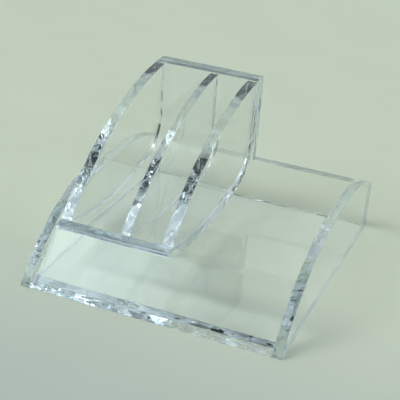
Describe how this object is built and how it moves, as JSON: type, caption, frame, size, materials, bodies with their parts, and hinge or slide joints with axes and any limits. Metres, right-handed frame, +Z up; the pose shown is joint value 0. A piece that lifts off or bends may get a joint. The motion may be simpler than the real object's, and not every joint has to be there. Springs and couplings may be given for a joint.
{
  "type": "memo pad holder",
  "caption": "Clear acrylic desk organiser: low tray with arched sides and a sloped front for memo slips, and a tall divided rack on a bent scoop sheet for cards and pens.",
  "frame": {"origin": "on the table, under the middle of the footprint", "axes": "+X to the viewer's right across the front, +Y towards the rear wall, +Z up"},
  "size_m": [0.19, 0.213, 0.1055],
  "materials": {
    "clear_acrylic": "clear polished acrylic sheet, faces and edges alike"
  },
  "bodies": {
    "root": {"floor_plate": "clear_acrylic", "front_panel": "clear_acrylic", "left_side_wall": "clear_acrylic", "right_side_wall": "clear_acrylic", "rear_wall": "clear_acrylic", "rack_scoop": "clear_acrylic", "rack_left_panel": "clear_acrylic", "rack_divider": "clear_acrylic", "rack_right_panel": "clear_acrylic"}
  },
  "joints": []
}
